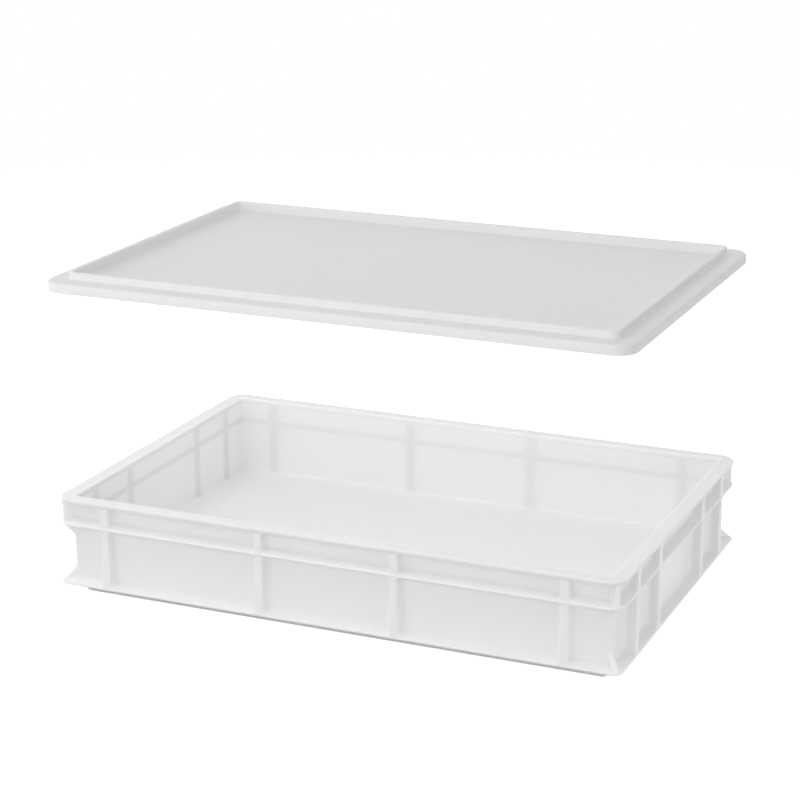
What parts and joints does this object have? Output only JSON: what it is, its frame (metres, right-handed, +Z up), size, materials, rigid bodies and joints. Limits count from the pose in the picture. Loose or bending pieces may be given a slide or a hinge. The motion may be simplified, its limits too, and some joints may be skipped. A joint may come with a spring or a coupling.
{
  "type": "dough proofing container",
  "caption": "Shallow white ribbed stacking box with a flat rim and stacking foot, and a loose lid with a raised ridge that lifts off it, for proofing and storing dough.",
  "frame": {"origin": "on the ground, under the middle of the tray", "axes": "+X along the long sides, +Y along the short sides, +Z up, the way the lid lifts"},
  "size_m": [0.6064, 0.4064, 0.3364],
  "materials": {
    "white_polyethylene": "satin, slightly translucent"
  },
  "bodies": {
    "tray": {"tray": "white_polyethylene"},
    "lid": {"lid": "white_polyethylene"}
  },
  "joints": [
    {"name": "lid_lift", "type": "slide", "parent": "tray", "child": "lid", "axis": [0, 0, 1], "range_m": [-0.222, 0.03]}
  ]
}
